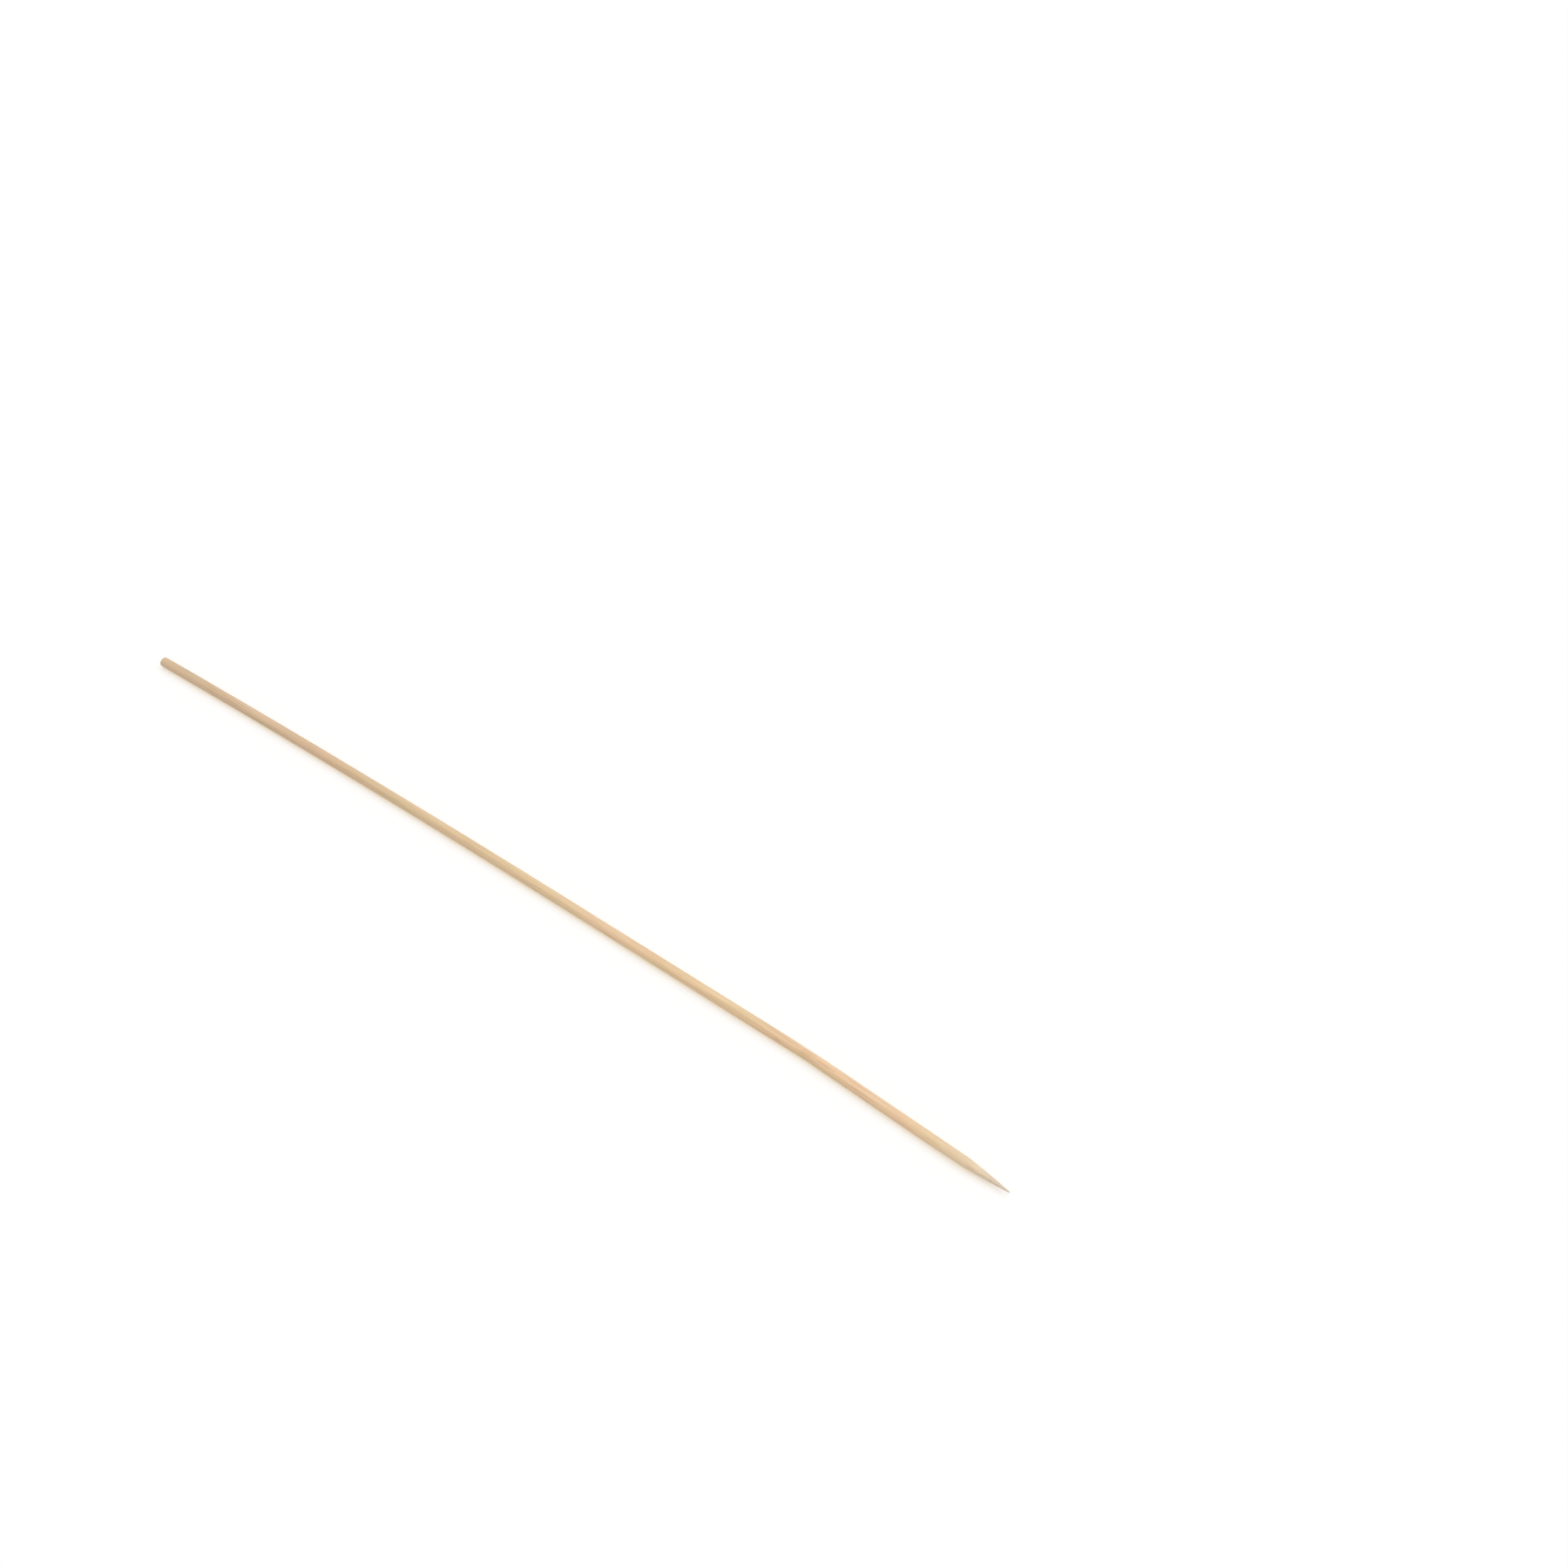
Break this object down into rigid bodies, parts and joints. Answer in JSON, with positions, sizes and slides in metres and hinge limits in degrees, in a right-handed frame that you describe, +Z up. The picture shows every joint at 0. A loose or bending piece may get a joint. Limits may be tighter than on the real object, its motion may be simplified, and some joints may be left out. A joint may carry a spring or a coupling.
{
  "type": "bamboo skewer",
  "caption": "Long slender round bamboo rod with a ground point at one end, a flat sawn butt, a slight natural bow and one knuckle.",
  "frame": {"origin": "middle of the lying rod's box, on the surface it lies on", "axes": "+X along the rod from the butt to the point, +Y to the side that the natural bow bulges to, +Z up from the surface it lies on"},
  "size_m": [0.3, 0.0054, 0.003],
  "materials": {
    "bamboo": "milled and lightly tumbled, unvarnished, satin-matt"
  },
  "bodies": {
    "root": {"skewer": "bamboo"}
  },
  "joints": []
}
